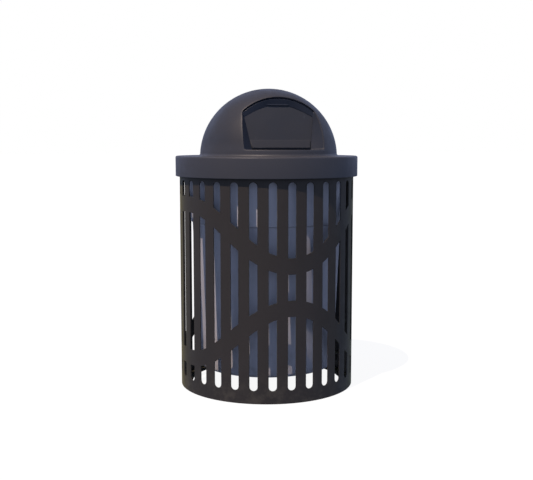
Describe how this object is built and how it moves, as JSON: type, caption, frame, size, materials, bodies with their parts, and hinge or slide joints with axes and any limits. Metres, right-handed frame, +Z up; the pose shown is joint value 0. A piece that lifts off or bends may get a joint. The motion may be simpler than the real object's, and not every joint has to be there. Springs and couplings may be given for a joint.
{
  "type": "litter bin",
  "caption": "Outdoor litter bin: slotted steel shell with wave bands, tapered liner, and a domed lid with an inward-swinging push door.",
  "frame": {"origin": "centre of the base, on the ground", "axes": "+Z up, the push door faces -Y, +X to the right of someone who looks along +Y at the door"},
  "size_m": [0.663, 0.663, 1.0792],
  "materials": {
    "powder_coated_steel": "fine-textured satin black powder coat",
    "moulded_plastic": "matt rotationally moulded black polyethylene",
    "door_plastic": "matt moulded black plastic",
    "liner_plastic": "semi-matt dark grey polyethylene",
    "zinc_plated_steel": "bright zinc plate",
    "spring_steel": "drawn wire",
    "nylon": "natural nylon"
  },
  "bodies": {
    "shell": {"shell": "powder_coated_steel", "top_ring": "powder_coated_steel", "base_ring": "powder_coated_steel", "liner_support_left": "powder_coated_steel", "liner_support_right": "powder_coated_steel", "liner_support_front": "powder_coated_steel", "shell_tether_lug": "powder_coated_steel"},
    "liner": {"liner": "liner_plastic"},
    "lid": {"lid": "moulded_plastic", "hinge_pin": "zinc_plated_steel", "pin_clip_left": "zinc_plated_steel", "pin_clip_right": "zinc_plated_steel", "hinge_washer_left": "nylon", "hinge_washer_right": "nylon", "torsion_spring_left": "spring_steel", "torsion_spring_right": "spring_steel", "lid_tether_eye": "zinc_plated_steel", "tether_bolt": "zinc_plated_steel", "tether_washer": "zinc_plated_steel", "tether_nut": "zinc_plated_steel"},
    "door": {"door": "door_plastic"}
  },
  "joints": [
    {"name": "liner_lift", "type": "slide", "parent": "shell", "child": "liner", "axis": [0, 0, 1], "range_m": [0, 0.78]},
    {"name": "lid_lift", "type": "slide", "parent": "liner", "child": "lid", "axis": [0, 0, 1], "range_m": [0, 0.3]},
    {"name": "door_swing", "type": "hinge", "parent": "lid", "child": "door", "pos_m": [0, -0.12758, 1.0144], "axis": [1, 0, 0], "range_deg": [0, 75], "stiffness_Nm_per_rad": 0.3, "springref_deg": -57.3, "deforming": ["torsion_spring_left", "torsion_spring_right"]}
  ]
}
